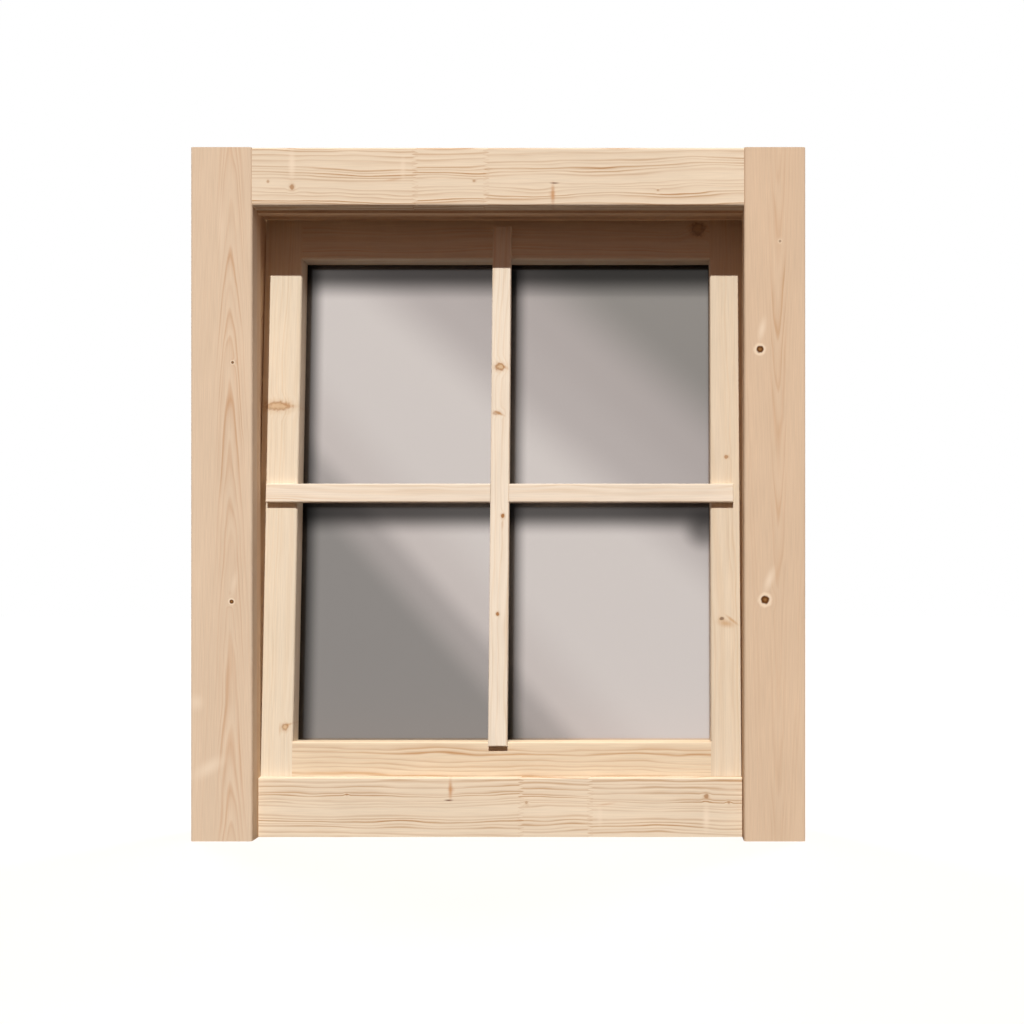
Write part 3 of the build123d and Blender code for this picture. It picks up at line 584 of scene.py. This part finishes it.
# Stage: a pale floor and white surroundings. The sun comes steeply from the front and a touch from the
# right, a weak lamp helps it from the side, and two soft lamps behind light the indoor face.


def seen_by_eye(tree):
    """1 for what the camera sees straight, in a gloss or through glass, and 0 for light on the object."""
    eye = add(tree, "LightPath", {})
    seen = add(tree, "Math", {0: eye.outputs["Is Camera Ray"], 1: eye.outputs["Is Glossy Ray"]},
               operation="MAXIMUM").outputs[0]
    return add(tree, "Math", {0: seen, 1: eye.outputs["Is Transmission Ray"]}, operation="MAXIMUM").outputs[0]


# The floor looks nearly white and keeps the object's shadow. What it throws back at the object is dim.
floor_material, tree = finish("pale_floor")
seen = seen_by_eye(tree)
paint = add(tree, "Mix", {"Factor": seen, 6: tone("#3D2E26"), 7: tone("#F2F2F2")}, data_type="RGBA")
lit = add(tree, "BsdfDiffuse", {"Color": paint.outputs[2]})
glow = add(tree, "Emission", {"Color": (1, 1, 1, 1), "Strength": 1.0})
share = add(tree, "Math", {0: seen, 1: 0.55}, operation="MULTIPLY")
plain = add(tree, "MixShader", {0: share.outputs[0], 1: lit.outputs[0], 2: glow.outputs[0]})
add(tree, "OutputMaterial", {"Surface": plain.outputs[0]})
build = bmesh.new()
bmesh.ops.create_grid(build, x_segments=1, y_segments=1, size=6.0)
mesh = bpy.data.meshes.new("floor")
build.to_mesh(mesh)
build.free()
mesh.materials.append(floor_material)
floor = bpy.data.objects.new("floor", mesh)
bpy.context.collection.objects.link(floor)


def sun(name, direction, strength, spread, colour):
    """A far lamp that shines along the direction."""
    lamp = bpy.data.lights.new(name, "SUN")
    lamp.energy, lamp.angle, lamp.color = strength, radians(spread), tone(colour)[:3]
    holder = bpy.data.objects.new(name, lamp)
    holder.rotation_euler = Vector(direction).to_track_quat("-Z", "Y").to_euler()
    bpy.context.collection.objects.link(holder)


sun("day_sun", (-0.04, 1.0, -1.02), 3.70, 0.6, "#FFFCF6")
sun("side_light", (-1.0, 0.2, -0.45), 0.15, 10, "#FFFFFF")
sun("back_left", (1.0, -1.0, -0.35), 1.9, 25, "#FFFFFF")
sun("back_right", (-1.0, -1.0, -0.35), 1.9, 25, "#FFFFFF")

# Warm, dim light from all round, and a white background for the eye
world = bpy.data.worlds.new("soft_day")
bpy.context.scene.world = world
world.use_nodes = True
tree = world.node_tree
tree.nodes.clear()
ambient = add(tree, "Background", {"Color": tone("#FFC7B0"), "Strength": 0.262})
white = add(tree, "Background", {"Color": (1, 1, 1, 1), "Strength": 1.0})
both = add(tree, "MixShader", {0: seen_by_eye(tree), 1: ambient.outputs[0], 2: white.outputs[0]})
add(tree, "OutputWorld", {"Surface": both.outputs[0]})

# The camera looks straight at the wall, from a little to the right and below: in the casings' plane the
# picture is VIEW_WIDTH wide round AIM, and the lens is shifted by SHIFT, in shares of that width.
VIEW_WIDTH = 1.165
SHIFT = (-0.14, 0.06)
AIM = (0.0160, 0.3748)
DISTANCE = 1.2
SENSOR = 36.0
lens = bpy.data.cameras.new("camera")
lens.sensor_width = SENSOR
lens.lens = SENSOR * DISTANCE / VIEW_WIDTH
lens.shift_x, lens.shift_y = SHIFT
camera = bpy.data.objects.new("camera", lens)
camera.location = (AIM[0] - SHIFT[0] * VIEW_WIDTH, casing_head[0][1] - DISTANCE,
                   AIM[1] - SHIFT[1] * VIEW_WIDTH)
camera.rotation_euler = (radians(90), 0, 0)
bpy.context.collection.objects.link(camera)
bpy.context.scene.camera = camera
bpy.context.scene.view_settings.view_transform = "Standard"
